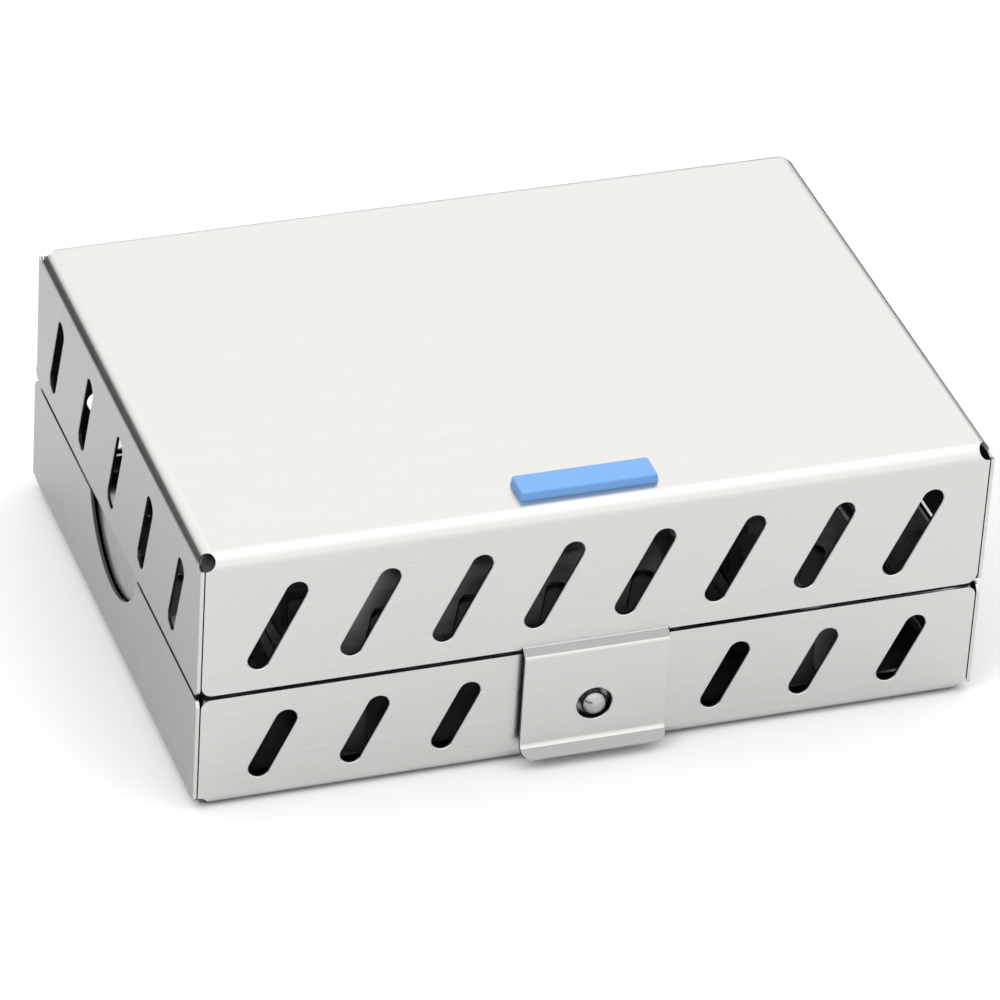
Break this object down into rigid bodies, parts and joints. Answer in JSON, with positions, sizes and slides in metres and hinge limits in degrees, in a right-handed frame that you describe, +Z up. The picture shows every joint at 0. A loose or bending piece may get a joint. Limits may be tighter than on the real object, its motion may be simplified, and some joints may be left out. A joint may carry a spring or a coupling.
{
  "type": "hinged sterilisation cassette",
  "caption": "Rectangular perforated steel instrument cassette with a rear-hinged deep lid, a snap tab at the front, finger notches and a lift-out cradle with silicone combs.",
  "frame": {"origin": "middle of the base's flat underside", "axes": "+X to the right along the long front, +Y from the latch towards the hinge, +Z up"},
  "size_m": [0.18, 0.1378, 0.0673],
  "materials": {
    "satin_steel": "fine satin brushing along the width",
    "polished_steel": "polished",
    "polished_sheet": "bright electropolished sheet",
    "blue_silicone": "matt moulded silicone",
    "grey_silicone": "matt moulded silicone"
  },
  "bodies": {
    "base": {"base_shell": "satin_steel", "latch_stud": "polished_steel", "stud_washer": "polished_steel", "hinge_pin": "polished_steel"},
    "lid": {"lid_shell": "satin_steel", "id_tab": "blue_silicone", "strip_rail_left": "polished_sheet", "strip_rail_right": "polished_sheet", "strip_left": "grey_silicone", "strip_right": "grey_silicone"},
    "latch": {"latch_tab": "satin_steel"},
    "cradle": {"mirror_cradle": "polished_sheet", "comb_rail_left": "polished_sheet", "comb_rail_right": "polished_sheet", "comb_left": "grey_silicone", "comb_right": "grey_silicone"}
  },
  "joints": [
    {"name": "lid_hinge", "type": "hinge", "parent": "base", "child": "lid", "pos_m": [0, 0.0661, 0.02925], "axis": [-1, 0, 0], "range_deg": [0, 145]},
    {"name": "latch_flex", "type": "hinge", "parent": "lid", "child": "latch", "pos_m": [0, -0.065, 0.0303], "axis": [-1, 0, 0], "range_deg": [0, 6], "stiffness_Nm_per_rad": 1.5},
    {"name": "cradle_lift", "type": "slide", "parent": "base", "child": "cradle", "axis": [0, 0, 1], "range_m": [0, 0.018]}
  ]
}
